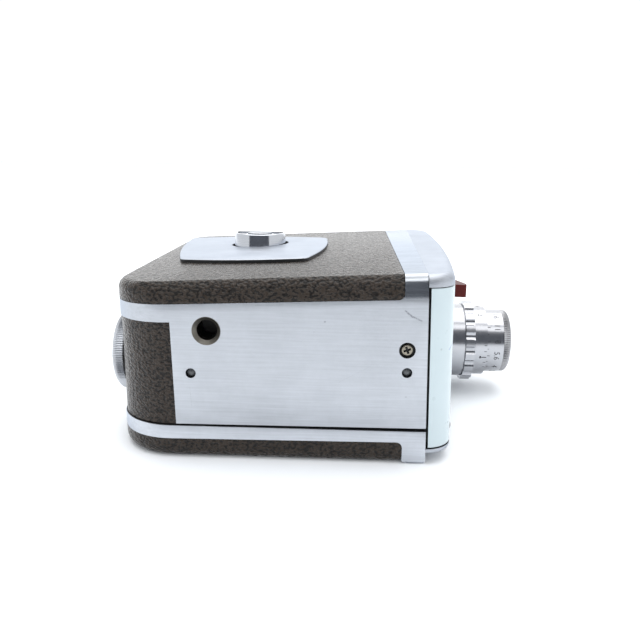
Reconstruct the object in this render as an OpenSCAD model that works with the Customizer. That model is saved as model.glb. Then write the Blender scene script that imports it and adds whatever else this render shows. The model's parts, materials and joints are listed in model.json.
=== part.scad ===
// Spring-wound 8 mm cine camera lying on its film door.
// +X points forward along the lens, +Y points to the camera's own top, +Z points up
// from the film door to the winding side. The base of the camera faces -Y.

/* [Body] */
// Height of the body, from its base to its top
body_h = 116; // [112:1:120]
// Radius of the rear corner at the base
rear_base_r = 18; // [14:1:18]
// Radius of the rear corner at the top
rear_top_r = 8; // [6:1:10]
// Radius of the front corner at the base
nose_base_r = 8.3; // [7.5:0.1:9]
// Radius of the front corner at the top
nose_top_r = 10; // [8:1:12]
// Furthest point of the front face from the rear face
nose_x = 105; // [104:0.5:106]
// Height of that furthest point above the base
nose_y = 82; // [78:1:86]
// Radius of the shallow curve of the front face
nose_curve_r = 660; // [600:10:720]
// Lean of the front face, further forward on the door side
nose_lean = 1.2; // [0.8:0.1:1.4]
// Thickness of the cast walls
wall = 2.6; // [2.4:0.1:2.8]
// Thickness of the leatherette
skin = 0.6; // [0.5:0.1:0.8]

/* [Sides] */
// Width of the body at its rear face, from door to winding side
rear_w = 52.24; // [51:0.1:54]
// Rise of the winding side for each millimetre forward
side_rise = 0.0496; // [0.045:0.001:0.055]
// Height of the lower edge of the side cover, at the rear face
cover_z = 46.13; // [45:0.1:47]
// Rise of that edge for each millimetre forward
cover_rise = 0.0394; // [0.035:0.001:0.045]
// Depth of the film door, at the rear face
door_z = 10.15; // [9.5:0.05:10.2]
// Rise of the door's rim for each millimetre forward
door_rise = 0.002; // [0:0.001:0.003]
// Lower edge of the casting above the door, at the rear face
seat_z = 10.5; // [10.5:0.1:11]
// Rise of that edge for each millimetre forward
seat_rise = 0.0075; // [0.005:0.0005:0.01]
// Depth of the leatherette on the door, at the rear face
door_skin_z = 5.8; // [5:0.1:6.5]
// Where the leatherette on both sides ends, from the rear face
skin_end_x = 86; // [85:0.5:87]

/* [Lens] */
// Height of the lens axis above the base
lens_y = 72; // [70:0.5:74]
// Distance of the lens axis from the door's outer face
lens_z = 18.8; // [18:0.1:19.5]
// Radius of the rear barrel
barrel_r = 14.1; // [13.5:0.1:14.3]
// Radius of the focus ring over its ribs
focus_r = 15.5; // [15:0.1:16]
// Radius of the index collar
index_r = 13.35; // [13:0.05:13.6]
// Radius of the numbered aperture ring
aperture_r = 12.2; // [12:0.1:12.6]
// Front end of the lens, from the rear face
lens_end_x = 132; // [131:0.5:133]

/* [Base] */
// Distance of the tripod bush from the rear face
bush_x = 29.8; // [28:0.1:32]
// Distance of the tripod bush from the door's outer face
bush_z = 39.4; // [38:0.1:40]
// Radius of the tripod thread, drawn as a plain bore
thread_r = 3; // [2.8:0.1:3.2]
// Length of the tripod thread
thread_len = 9; // [7:0.5:9]

/* [Winding] */
// Distance of the winding axis from the rear face
wind_x = 36; // [35:0.5:37]
// Height of the winding axis above the base
wind_y = 73; // [72:0.5:74]
// Radius of the winding hub
hub_r = 10; // [9.5:0.1:10.2]
// Top of the winding hub, from the door's outer face
hub_top = 59.5; // [59:0.1:60]

/* [Gears] */
// Module of the gear teeth
gear_m = 0.8; // [0.78:0.01:0.8]
// Teeth on the barrel's great wheel
great_n = 54; // [54:1:54]
// Teeth on each pinion
pinion_n = 12; // [12:1:12]
// Teeth on the second wheel
second_n = 36; // [36:1:36]
// Teeth on the take-up gear
takeup_n = 46; // [46:1:46]
// Teeth on the third wheel's crown
crown_n = 24; // [24:1:24]

/* [Hidden] */
$fn = 64;

// Running clearance between a shaft and its hole, on the radius
fit = 0.05;
// Gap between parts that only lie beside each other
gap = 0.3;
// How far a cutter runs past the surface that it cuts
past = 1;
far = 170;

// Rear dial
dial_r = 13.1;
dial_y = 30.5;
dial_z = 24.4;
dial_proud = 5;

// Levels of the film chamber and of the movement above it
chamber_top = 24.5;
web_top = 26.5;
plate_z = 44;
plate_t = 1.5;
bulkhead_x = 90.2;
bulkhead_t = 2;
cover_t = 1.2;

// Seam between the casting and the front housing: its place at the base, beside the door
seam_x = 93.9;
seam_z = 5;
seam_lean_y = 1.53;
seam_lean_z = 1.6;

// Rear leatherette panel
panel_edge_x = 19.3;
panel_edge_z = 41.7;
panel_lean = 1.35;
panel_top_y = 107;
recess = 1;

// Front panel
panel_lo = 4.8;
panel_hi = 53.3;
panel_t = 1;
lip_z = 3.3;
seam_gap = 0.7;
skin_corner = 1.8;

// Arbors of the movement, each where its gears mesh
great_c = gear_m * (great_n + pinion_n) / 2;
second_a = -47;
second_x = wind_x + great_c * cos(second_a);
second_y = wind_y + great_c * sin(second_a);
third_c = gear_m * (second_n + pinion_n) / 2;
third_a = 19.2;
third_x = second_x + third_c * cos(third_a);
third_y = second_y + third_c * sin(third_a);
gov_a = -70;
gov_x = second_x + third_c * cos(gov_a);
gov_y = second_y + third_c * sin(gov_a);
takeup_c = gear_m * (second_n + takeup_n) / 2;
takeup_a = 226;
takeup_x = second_x + takeup_c * cos(takeup_a);
takeup_y = second_y + takeup_c * sin(takeup_a);
crown_z = 37.3;
shutter_z = crown_z - gear_m * pinion_n / 2 - 0.1;
shutter_x = 95.2;
shutter_r = 21.4;
arbor_r = 1.2;

// Film spools and the film's path
spool_r = 25.5;
spool_z = 5.9;
spool_w = 17.5;
spindle_r = 2;
supply_x = 31;
supply_y = 86;
roller_x = 76;
roller_r = 3.4;
roller_ys = [50, 94];
gate_half = 12;

// Viewfinder
finder_y = 101.5;
finder_z = 35;
finder_w = 10;
finder_h = 12;

// Release
release_y = 25;
release_h = 10;
release_z = 45.6;
release_w = 4;
release_travel = 4.5;
release_lean = atan((nose_y - release_y - release_h / 2) / nose_curve_r);

// Door latch
latch_x = 70;
latch_y = 22;
latch_r = 8;

// Door hinge
hinge_y = body_h + 2;
hinge_z = 10.6;
hinge_r = 1.8;
hinge_x = [20, 35, 55, 70];

// Origin at the middle of the base of the whole object's box
shift = [-(lens_end_x - dial_proud) / 2, -(hinge_y + hinge_r) / 2, 0];

function top_z(x) = rear_w + side_rise * x;
function nose(y) = nose_x - pow(y - nose_y, 2) / (2 * nose_curve_r);
function arc(cx, cy, r, a0, a1, n) =
    [for (i = [0:n]) let (a = a0 + (a1 - a0) * i / n) [cx + r * cos(a), cy + r * sin(a)]];

// Side view of the whole body, moved in by t
function outline(t) =
    let (
        base_a = atan((nose_y - nose_base_r) / nose_curve_r),
        base_y = nose_base_r * (1 - sin(base_a)),
        top_a = atan((body_h - nose_top_r - nose_y) / nose_curve_r),
        top_y = body_h - nose_top_r * (1 - sin(top_a)),
        steps = 10
    )
    concat(
        arc(rear_base_r, rear_base_r, rear_base_r - t, 180, 270, 14),
        arc(nose(base_y) - nose_base_r * cos(base_a), nose_base_r,
            nose_base_r - t, 270, 360 - base_a, 12),
        [for (i = [1:steps - 1]) let (y = base_y + (top_y - base_y) * i / steps) [nose(y) - t, y]],
        arc(nose(top_y) - nose_top_r * cos(top_a), body_h - nose_top_r,
            nose_top_r - t, top_a, 90, 10),
        arc(rear_top_r, body_h - rear_top_r, rear_top_r - t, 90, 180, 10)
    );

// Everything between two heights that may each rise forward, from x0 to x1
module wedge(z0, rise0, z1, rise1, x0 = -20, x1 = 150)
    translate([0, far - 20, 0])
        rotate([90, 0, 0])
            linear_extrude(far)
                polygon([
                    [x0, z0 + rise0 * x0],
                    [x1, z0 + rise0 * x1],
                    [x1, z1 + rise1 * x1],
                    [x0, z1 + rise1 * x0]
                ]);

// What the leatherette of the winding side covers, moved in by t, with its lower front corner rounded
module side_zone(t = 0)
    translate([0, far - 20, 0])
        rotate([90, 0, 0])
            linear_extrude(far)
                polygon(concat(
                    [[-20, cover_z - 20 * cover_rise + t]],
                    arc(skin_end_x - skin_corner, cover_z + cover_rise * skin_end_x + skin_corner,
                        skin_corner - t, 270, 360, 6),
                    [[skin_end_x - t, 90], [-20, 90]]
                ));

// The same for the leatherette of the door, with its upper front corner rounded
module door_zone(t = 0)
    translate([0, far - 20, 0])
        rotate([90, 0, 0])
            linear_extrude(far)
                polygon(concat(
                    [[-20, -20], [skin_end_x + 1 - t, -20]],
                    arc(skin_end_x + 1 - skin_corner, door_skin_z + 0.95 - skin_corner,
                        skin_corner - t, 0, 90, 6),
                    [[-20, door_skin_z - 0.22 - t]]
                ));

// Side view of the front housing and its panel, moved in by t and leaning with the front face
module leaning_slab(t, z0, z1)
    intersection() {
        translate([0, 0, panel_hi])
            rotate([0, -nose_lean, 0])
                translate([0, 0, -panel_hi - 10])
                    linear_extrude(90)
                        polygon(outline(t));
        wedge(z0, 0, z1, 0);
    }

module body_column(t)
    translate([0, 0, -past])
        linear_extrude(80)
            polygon(outline(t));

module body_slab(t, z0, rise0, z1, rise1, x0 = -20, x1 = 150)
    intersection() {
        body_column(t);
        wedge(z0, rise0, z1, rise1, x0, x1);
    }

// Everything ahead of the seam, from d past it
module ahead(d = 0)
    translate([seam_x + d, 0, seam_z])
        rotate([0, -seam_lean_z, -seam_lean_y])
            translate([0, -20, -20])
                cube([60, far, 100]);

module along_x(x, y, z, r, len)
    translate([x, y, z])
        rotate([0, 90, 0])
            cylinder(r = r, h = len);

module along_y(x, y, z, r, len)
    translate([x, y, z])
        rotate([-90, 0, 0])
            cylinder(r = r, h = len);

module disc(x, y, z, r, len)
    translate([x, y, z])
        cylinder(r = r, h = len);

module block(x, y, z)
    translate([x[0], y[0], z[0]])
        cube([x[1] - x[0], y[1] - y[0], z[1] - z[0]]);

module tube(r_out, r_in, len)
    difference() {
        cylinder(r = r_out, h = len);
        translate([0, 0, -past])
            cylinder(r = r_in, h = len + 2 * past);
    }

module tube_x(x, y, z, r_out, r_in, len)
    translate([x, y, z])
        rotate([0, 90, 0])
            tube(r_out, r_in, len);

// A solid of revolution about the lens axis: points are [distance along X, radius]
module turned_x(x, y, z, points)
    translate([x, y, z])
        rotate([0, 90, 0])
            rotate_extrude()
                polygon([for (p = points) [p[1], p[0]]]);

// ---- gears ----

pressure_a = 22.5;
backlash = 0.14;
function involute(a) = tan(a) * 180 / PI - a;
function flank(n, r) =
    let (rp = gear_m * n / 2)
    90 / n - backlash / 2 / rp * 180 / PI + involute(pressure_a)
        - involute(acos(min(1, rp * cos(pressure_a) / r)));
function polar(r, a) = [r * cos(a), r * sin(a)];
function tooth(n) =
    let (
        rp = gear_m * n / 2,
        root = rp - 1.1 * gear_m,
        low = max(rp * cos(pressure_a), root + 0.05),
        tip = rp + 0.8 * gear_m
    )
    [[root, flank(n, low)], [low, flank(n, low)], [rp, flank(n, rp)], [tip, flank(n, tip)]];

// A spur gear with the middle of one tooth at the angle phase
module spur(n, phase, thick)
    linear_extrude(thick)
        polygon([
            for (i = [0:n - 1])
                let (c = phase + 360 * i / n, t = tooth(n))
                for (k = [0:7])
                    k < 4 ? polar(t[k][0], c - t[k][1]) : polar(t[7 - k][0], c + t[7 - k][1])
        ]);

// Phase of a mate of n2 teeth, seen at the angle a from a gear of n1 teeth and phase p1
function mate(a, p1, n1, n2) = a + 180 + (a - p1) * n1 / n2 + 180 / n2;

module arbor(x, y, z0, z1, r = arbor_r)
    disc(x, y, z0, r, z1 - z0);

// ---- casting and covers ----

module rear_zone()
    translate([panel_edge_x, -past, panel_edge_z])
        rotate([0, -panel_lean, 0])
            translate([-60, 0, -60])
                cube([60, panel_top_y + past, 60]);

module body_casting()
    color([0.80, 0.82, 0.85])
        difference() {
            union() {
                difference() {
                    body_slab(0, seat_z, seat_rise, rear_w, side_rise);
                    side_zone();
                    body_slab(wall, -past, 0, chamber_top, 0, 0, bulkhead_x);
                    body_slab(wall, web_top, 0, 70, 0, 0, skin_end_x - 2);
                    body_slab(wall, web_top, 0, rear_w - wall, side_rise, skin_end_x - 3, bulkhead_x);
                    body_slab(wall, -past, 0, rear_w - wall, side_rise, bulkhead_x + bulkhead_t, 150);
                    ahead();
                }
                along_y(bush_x, past, bush_z, 6.4, thread_len + 0.2);
                along_x(past * 2, dial_y, dial_z, 5, 3.2);
            }
            intersection() {
                difference() {
                    body_slab(-past, 0, 0, 60, 0, -20, 40);
                    body_column(recess);
                }
                rear_zone();
            }
            along_y(bush_x, -past, bush_z, 4.2, thread_len + past);
            along_y(87.3, -past, 35, 2.35, past + 1.4);
            along_y(87.3, 0, 35, 0.9, 9);
            along_y(24.9, -past, 26.6, 1.5, past + 1.8);
            along_y(87.5, -past, 28.3, 1.5, past + 1.8);
            along_x(-past, dial_y, dial_z, 1.8 + fit, 5.8);
            along_x(-past, finder_y, finder_z, 5.2, 6);
            block([bulkhead_x - 1, 93], [lens_y - 3, lens_y + 3], [lens_z - 2.5, lens_z + 2.5]);
            block([bulkhead_x - 1, 93], [lens_y - 9, lens_y - 3.6], [21.6, 24]);
            along_x(bulkhead_x - 1, third_y, shutter_z, arbor_r + fit, 4);
            block(
                [bulkhead_x - 1, 93],
                [finder_y - finder_w / 2 - fit, finder_y + finder_w / 2 + fit],
                [finder_z - finder_h / 2 - fit, finder_z + finder_h / 2 + fit]
            );
            for (p = [[second_x, second_y], [third_x, third_y], [gov_x, gov_y]])
                disc(p[0], p[1], web_top - 1.2, arbor_r + fit, 3);
            disc(wind_x, wind_y, web_top - 1.2, 1.5 + fit, 3);
            disc(takeup_x, takeup_y, chamber_top - past, spindle_r + fit, 4);
        }

module tripod_bush()
    color([0.62, 0.60, 0.56])
        translate([bush_x, 0, bush_z])
            rotate([-90, 0, 0])
                difference() {
                    cylinder(r = 4.2, h = thread_len);
                    translate([0, 0, -past])
                        cylinder(r = thread_r, h = thread_len + 2 * past);
                    translate([0, 0, -0.01])
                        cylinder(r1 = 4.1, r2 = thread_r, h = 1.1);
                }

module base_screw()
    color([0.70, 0.66, 0.58])
        difference() {
            union() {
                along_y(87.3, 0.3, 35, 1.65, 1.1);
                along_y(87.3, 1.3, 35, 0.85, 6.5);
            }
            block([87.3 - 1.1, 87.3 + 1.1], [0, 1], [35 - 0.25, 35 + 0.25]);
            block([87.3 - 0.25, 87.3 + 0.25], [0, 1], [35 - 1.1, 35 + 1.1]);
        }

module rear_leather()
    color([0.29, 0.27, 0.25])
        difference() {
            intersection() {
                difference() {
                    body_slab(recess - skin, seat_z, seat_rise, 60, 0, -20, 40);
                    body_column(recess);
                }
                rear_zone();
            }
            along_x(-past, dial_y, dial_z, 2.4, 5);
            along_x(-past, finder_y, finder_z, 5.4, 5);
        }

module side_cover()
    color([0.55, 0.56, 0.58])
        difference() {
            intersection() {
                body_slab(skin, 0, 0, rear_w - skin, side_rise);
                side_zone(skin);
            }
            body_slab(skin + cover_t, 0, 0, rear_w - skin - cover_t, side_rise, 0,
                      skin_end_x - skin - cover_t);
            disc(wind_x, wind_y, 40, 11.5, 30);
        }

module side_leather()
    color([0.29, 0.27, 0.25])
        difference() {
            intersection() {
                body_slab(0, 0, 0, rear_w, side_rise);
                side_zone(0.05);
            }
            intersection() {
                body_slab(skin, 0, 0, rear_w - skin, side_rise);
                side_zone(skin);
            }
            body_slab(skin + cover_t, 0, 0, rear_w - skin - cover_t, side_rise, 0,
                      skin_end_x - skin - cover_t);
            disc(wind_x, wind_y, 40, 11.5, 30);
        }

// Edge of the winding plate from p to q, bulging outwards by b, without its ends
function bulge(p, q, b, n = 8) =
    [for (i = [1:n - 1])
        let (f = i / n, d = (q - p) / norm(q - p), s = 4 * b * f * (1 - f))
        p + (q - p) * f + s * [d[1], -d[0]]];

plate_corners = [[13.5, 36.5], [57, 30], [62.5, 85], [3.2, 100]];
plate_bulges = [1.8, 2, 3, 1.6];
plate_rs = [3.5, 5, 7, 5];

// The corner c between p and n, turned by an arc that starts r before it
function corner(p, c, n, r) =
    let (a = c + (p - c) / norm(p - c) * r, b = c + (n - c) / norm(n - c) * r)
    [for (i = [0:6]) let (f = i / 6) a * (1 - f) * (1 - f) + c * 2 * f * (1 - f) + b * f * f];

function plate_outline() =
    [for (k = [0:3])
        let (
            p = plate_corners[(k + 3) % 4],
            c = plate_corners[k],
            n = plate_corners[(k + 1) % 4],
            after = plate_corners[(k + 2) % 4],
            start = c + (n - c) / norm(n - c) * plate_rs[k],
            end = n - (n - c) / norm(n - c) * plate_rs[(k + 1) % 4]
        )
        for (q = concat(corner(p, c, n, plate_rs[k]), bulge(start, end, plate_bulges[k])))
            q];

module escutcheon_plate()
    color([0.88, 0.90, 0.92])
        difference() {
            translate([0, 0, rear_w])
                rotate([0, -atan(side_rise), 0])
                    linear_extrude(1.2)
                        polygon(plate_outline());
            disc(wind_x, wind_y, 40, hub_r + 0.8, 30);
        }

module front_housing()
    color([0.84, 0.87, 0.92])
        difference() {
            intersection() {
                leaning_slab(0, lip_z, 80);
                wedge(0, 0, rear_w, side_rise);
                ahead();
            }
            difference() {
                leaning_slab(-past, panel_lo, panel_hi);
                leaning_slab(panel_t, 0, 60);
            }
            difference() {
                leaning_slab(-past, panel_lo, panel_hi);
                leaning_slab(wall - 0.2, 0, 60);
                ahead(seam_gap);
            }
            intersection() {
                leaning_slab(wall, lip_z + wall, 80);
                wedge(0, 0, rear_w - wall, side_rise);
            }
            along_x(95, lens_y, lens_z, 12.6, 15);
            block(
                [95, 115],
                [finder_y - finder_w / 2 - fit, finder_y + finder_w / 2 + fit],
                [finder_z - finder_h / 2 - fit, finder_z + finder_h / 2 + fit]
            );
            release_slot();
        }

module release_slot()
    block(
        [95, 115],
        [release_y - release_travel + 1, release_y + release_h - 1],
        [release_z + 0.7, release_z + release_w - 0.7]
    );

module front_panel()
    color([0.85, 0.91, 0.93])
        difference() {
            intersection() {
                difference() {
                    leaning_slab(0, panel_lo + 0.4, panel_hi - 0.25);
                    leaning_slab(panel_t, 0, 60);
                }
                ahead(seam_gap);
            }
            along_x(95, lens_y, lens_z, barrel_r + 0.05, 15);
            block(
                [95, 115],
                [finder_y - finder_w / 2 + 0.8, finder_y + finder_w / 2 - 0.8],
                [finder_z - finder_h / 2 + 0.8, finder_z + finder_h / 2 - 0.8]
            );
            release_slot();
        }

rivet_r = 1.1;
rivet_proud = 0.5;
rivet_z = 8.5;

// The heads are low domes whose shanks are pressed into the panel
module panel_rivets()
    color([0.70, 0.72, 0.74])
        for (y = [10.5, 104])
            let (edge = 0.15, rise = rivet_proud - edge, r = (rivet_r * rivet_r + rise * rise) / (2 * rise))
            turned_x(nose(y) + (panel_hi - rivet_z) * tan(nose_lean), y, rivet_z, concat(
                [[-0.8, 0], [-0.8, rivet_r]],
                [for (i = [4:-1:0])
                    let (a = asin(rivet_r / r) * i / 4)
                    [rivet_proud - r + r * cos(a), r * sin(a)]]
            ));

// ---- viewfinder ----

module finder_block(x0, x1, t)
    block(
        [x0, x1],
        [finder_y - finder_w / 2 + t, finder_y + finder_w / 2 - t],
        [finder_z - finder_h / 2 + t, finder_z + finder_h / 2 - t]
    );

finder_front = 103;

module viewfinder_tube()
    color([0.12, 0.12, 0.13])
        difference() {
            finder_block(wall + 0.4, finder_front, 0);
            finder_block(wall, finder_front + past, 0.8);
        }

module viewfinder_objective()
    color([0.75, 0.85, 0.90, 0.5])
        finder_block(finder_front - 3, finder_front - 0.6, 0.85);

module eyepiece_ring()
    color([0.15, 0.15, 0.16])
        turned_x(-1.6, finder_y, finder_z, [[0, 3.4], [0, 4.8], [0.4, 5.15], [4.2, 5.15], [4.2, 3.4]]);

module eyepiece_glass()
    color([0.75, 0.85, 0.90, 0.5])
        along_x(0.2, finder_y, finder_z, 3.35, 1.6);

// ---- movement ----

pillars = [[10, 52], [76, 38], [70, 88], [10, 90]];

module movement_plate()
    color([0.80, 0.72, 0.48])
        difference() {
            translate([0, 0, plate_z])
                linear_extrude(plate_t)
                    polygon([[6, 26], [14, 18], [66, 18], [80, 32], [80, 86], [74, 92], [12, 92], [6, 86]]);
            disc(wind_x, wind_y, plate_z - past, 3 + fit, 5);
            for (p = [[second_x, second_y], [third_x, third_y], [gov_x, gov_y], [takeup_x, takeup_y]])
                disc(p[0], p[1], plate_z - past, arbor_r + fit, 5);
            for (p = pillars)
                disc(p[0], p[1], plate_z - past, 1, 5);
        }

module plate_pillars()
    color([0.80, 0.72, 0.48])
        for (p = pillars)
            difference() {
                disc(p[0], p[1], web_top, 2.4, plate_z - web_top);
                disc(p[0], p[1], plate_z - 6, 0.9, 7);
            }

module plate_screws()
    color([0.55, 0.56, 0.60])
        for (p = pillars)
            difference() {
                union() {
                    disc(p[0], p[1], plate_z + plate_t, 1.9, 1.1);
                    disc(p[0], p[1], plate_z - 4, 0.85, 5.6);
                }
                block([p[0] - 2, p[0] + 2], [p[1] - 0.25, p[1] + 0.25], [plate_z + plate_t + 0.5, 60]);
            }

module second_wheel()
    color([0.83, 0.70, 0.40])
        union() {
            arbor(second_x, second_y, web_top - past, plate_z + 1.2);
            translate([second_x, second_y, 27.7])
                spur(pinion_n, mate(second_a, 0, great_n, pinion_n), 2.6);
            translate([second_x, second_y, 41])
                spur(second_n, third_a, 1.5);
        }

module third_wheel()
    color([0.83, 0.70, 0.40])
        union() {
            arbor(third_x, third_y, web_top - past, plate_z + 1.2);
            translate([third_x, third_y, 40.4])
                spur(pinion_n, mate(third_a, third_a, second_n, pinion_n), 2.6);
            disc(third_x, third_y, crown_z + 0.7, 10.4, 1.2);
            for (i = [0:crown_n - 1])
                translate([third_x, third_y, crown_z - 0.4])
                    rotate([0, 0, 360 * i / crown_n])
                        translate([8.4, -0.35, 0])
                            cube([1.9, 0.7, 1.2]);
        }

module governor()
    color([0.70, 0.66, 0.58])
        union() {
            arbor(gov_x, gov_y, web_top - past, plate_z + 1.2);
            translate([gov_x, gov_y, 40.4])
                spur(pinion_n, mate(gov_a, third_a, second_n, pinion_n), 2.6);
            disc(gov_x, gov_y, 30, 2.4, 8);
            block([gov_x - 6, gov_x + 6], [gov_y - 0.8, gov_y + 0.8], [33.2, 34.8]);
            for (s = [-1, 1])
                disc(gov_x + 6 * s, gov_y, 32, 2.4, 4);
        }

module shutter()
    color([0.20, 0.20, 0.22])
        union() {
            along_x(80, third_y, shutter_z, arbor_r, shutter_x - 79.4);
            translate([third_x + 8.35, third_y, shutter_z])
                rotate([0, 90, 0])
                    spur(pinion_n, 180 / pinion_n, 2);
            difference() {
                along_x(shutter_x, third_y, shutter_z, shutter_r, 0.6);
                difference() {
                    translate([shutter_x - past, third_y, shutter_z])
                        rotate([-45, 0, 0])
                            translate([0, 0, -40])
                                cube([3, 40, 40]);
                    along_x(shutter_x - 2, third_y, shutter_z, 12, 5);
                }
            }
            along_x(shutter_x - 0.6, third_y, shutter_z, 3, 1.8);
        }

module barrel_drum()
    color([0.83, 0.70, 0.40])
        difference() {
            union() {
                translate([wind_x, wind_y, 28])
                    spur(great_n, 0, 1.8);
                disc(wind_x, wind_y, 28, 20.4, 12);
            }
            disc(wind_x, wind_y, 29.5, 19.2, 12);
            disc(wind_x, wind_y, 27, 3 + fit, 4);
        }

// Points along a spiral of the given turns, between two radii
function spiral(r0, r1, turns, n) =
    [for (i = [0:n]) polar(r0 + (r1 - r0) * i / n, 360 * turns * i / n)];

module mainspring()
    color([0.35, 0.38, 0.45])
        translate([wind_x, wind_y, 30])
            linear_extrude(9)
                polygon(concat(
                    spiral(3.9, 18.3, 6, 108),
                    [for (i = [0:108]) spiral(4.4, 18.8, 6, 108)[108 - i]]
                ));

module winding_arbor()
    color([0.66, 0.67, 0.70])
        union() {
            disc(wind_x, wind_y, 27.5, 3, 24);
            disc(wind_x, wind_y, web_top - 0.9, 1.5, 2);
            translate([wind_x, wind_y, plate_z + plate_t + 0.5])
                linear_extrude(1.6)
                    polygon([for (i = [0:19]) each [polar(6.2, 18 * i), polar(7.6, 18 * i + 2)]]);
        }

bail_r = 8.4;
bail_z = hub_top - 1.3;

module winding_hub()
    color([0.88, 0.89, 0.91])
        difference() {
            disc(wind_x, wind_y, 51.5, hub_r, hub_top - 51.5);
            difference() {
                disc(wind_x, wind_y, hub_top - 2.5, bail_r + gap, 4);
                disc(wind_x, wind_y, hub_top - 3.5, bail_r - 3.2 - gap, 6);
                block([wind_x - 20, wind_x + 20], [wind_y + 1.3, wind_y + 20], [50, 70]);
            }
            block(
                [wind_x - bail_r - gap, wind_x + bail_r + gap],
                [wind_y - 1.3, wind_y + 1.3],
                [hub_top - 2.5, hub_top + 1]
            );
            along_x(wind_x - hub_r + 0.6, wind_y, bail_z, 0.5 + fit, 2 * hub_r - 1.2);
        }

module winding_bail()
    color([0.80, 0.81, 0.84])
        union() {
            difference() {
                disc(wind_x, wind_y, bail_z - 0.9, bail_r, 1.8);
                disc(wind_x, wind_y, bail_z - 2, bail_r - 3.2, 4);
                block([wind_x - 20, wind_x + 20], [wind_y, wind_y + 20], [50, 70]);
            }
            along_x(wind_x - bail_r, wind_y, bail_z, 0.9, 2 * bail_r);
            along_x(wind_x - hub_r + 0.8, wind_y, bail_z, 0.5, 2 * hub_r - 1.6);
        }

// ---- film transport ----

module spool(x, y)
    translate([x, y, spool_z])
        difference() {
            union() {
                cylinder(r = spool_r, h = 0.8);
                translate([0, 0, spool_w - 0.8])
                    cylinder(r = spool_r, h = 0.8);
                cylinder(r = 8, h = spool_w);
            }
            translate([0, 0, -past])
                cylinder(r = spindle_r + fit, h = spool_w + 2 * past);
            for (z = [-past, spool_w - 0.8 - fit])
                for (a = [0:120:240])
                    rotate([0, 0, a + 30])
                        translate([16.5, 0, z])
                            cylinder(r = 5, h = 0.8 + past + fit);
        }

module takeup_gear()
    color([0.83, 0.70, 0.40])
        union() {
            arbor(takeup_x, takeup_y, plate_z - 4, plate_z + 1.2);
            disc(takeup_x, takeup_y, spool_z - 1, spindle_r, 38);
            translate([takeup_x, takeup_y, 41])
                spur(takeup_n, mate(takeup_a, third_a, second_n, takeup_n), 1.5);
        }

module takeup_spool()
    color([0.16, 0.16, 0.17])
        spool(takeup_x, takeup_y);

module supply_spool()
    color([0.16, 0.16, 0.17])
        spool(supply_x, supply_y);

module supply_spindle()
    color([0.72, 0.73, 0.75])
        union() {
            disc(supply_x, supply_y, spool_z - 1.4, spindle_r, chamber_top - spool_z + 1.4);
            disc(supply_x, supply_y, chamber_top - 0.8, 5, 0.8);
        }

module roller_pins()
    color([0.72, 0.73, 0.75])
        for (y = roller_ys)
            union() {
                disc(roller_x, y, spool_z, 1.2, chamber_top - spool_z);
                disc(roller_x, y, spool_z - 0.4, 2.4, 0.7);
            }

module film_roller(y)
    color([0.20, 0.20, 0.21])
        translate([roller_x, y, spool_z + 0.6])
            difference() {
                union() {
                    cylinder(r = roller_r - 0.8, h = 17.2);
                    cylinder(r = roller_r, h = 1.4);
                    translate([0, 0, 15.8])
                        cylinder(r = roller_r, h = 1.4);
                }
                translate([0, 0, -past])
                    cylinder(r = 1.2 + fit, h = 20);
            }

module upper_film_roller()
    film_roller(roller_ys[1]);

module lower_film_roller()
    film_roller(roller_ys[0]);

module aperture_plate()
    color([0.78, 0.79, 0.80])
        difference() {
            block([bulkhead_x - 1.2, bulkhead_x], [lens_y - gate_half, lens_y + gate_half], [5.6, 24.4]);
            block([bulkhead_x - 3, bulkhead_x + 1], [lens_y - 1.8, lens_y + 1.8],
                  [lens_z - 2.4, lens_z + 2.4]);
            block([bulkhead_x - 3, bulkhead_x + 1], [lens_y - 9, lens_y - 3.6], [21.6, 23.4]);
        }

gate_pins = [lens_y - 8, lens_y + 8];

module pressure_plate()
    color([0.60, 0.61, 0.63])
        union() {
            difference() {
                block([bulkhead_x - 2.6, bulkhead_x - 1.4], [lens_y - 11, lens_y + 11], [6.2, 21.2]);
                block([bulkhead_x - 3, bulkhead_x], [lens_y - 1.6, lens_y + 1.6],
                      [lens_z - 2.2, lens_z + 2.2]);
            }
            for (y = gate_pins)
                along_x(bulkhead_x - 6.6, y, 13, 0.9, 4.1);
        }

module gate_bracket()
    color([0.72, 0.73, 0.75])
        difference() {
            union() {
                block([bulkhead_x - 6, bulkhead_x - 4.6], [lens_y - 10.5, lens_y + 10.5], [8, chamber_top]);
                block([bulkhead_x - 9.6, bulkhead_x - 4.6], [lens_y - 10.5, lens_y + 10.5],
                      [chamber_top - 1, chamber_top]);
            }
            for (y = gate_pins)
                along_x(bulkhead_x - 8, y, 13, 0.9 + fit, 6);
            block([bulkhead_x - 8, bulkhead_x], [lens_y - 3.4, lens_y + 3.4], [lens_z - 3.4, lens_z + 3.4]);
        }

module film_claw()
    color([0.66, 0.67, 0.70])
        union() {
            block([93.2, 94], [lens_y - 16, lens_y - 3.9], [20.8, 23.2]);
            block([bulkhead_x - 1.3, 93.3], [lens_y - 4.9, lens_y - 3.9], [21.9, 23.1]);
        }

// ---- rear dial and release ----

module footage_dial()
    color([0.78, 0.79, 0.81])
        turned_x(-dial_proud, dial_y, dial_z, [
            [0, 0], [0, dial_r - 3.2], [0.6, dial_r - 2.6], [0.6, dial_r - 1], [0, dial_r - 0.6],
            [0.4, dial_r], [dial_proud - 0.8, dial_r], [dial_proud - 0.3, dial_r - 0.6],
            [dial_proud - 0.3, 1.8], [dial_proud + 3.6, 1.8], [dial_proud + 3.6, 0]
        ]);

module released(x)
    translate([
        nose(release_y + release_h / 2) + (panel_hi - release_z) * tan(nose_lean) + x,
        release_y + release_h / 2,
        release_z
    ])
        rotate([0, 0, -release_lean])
            children();

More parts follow.
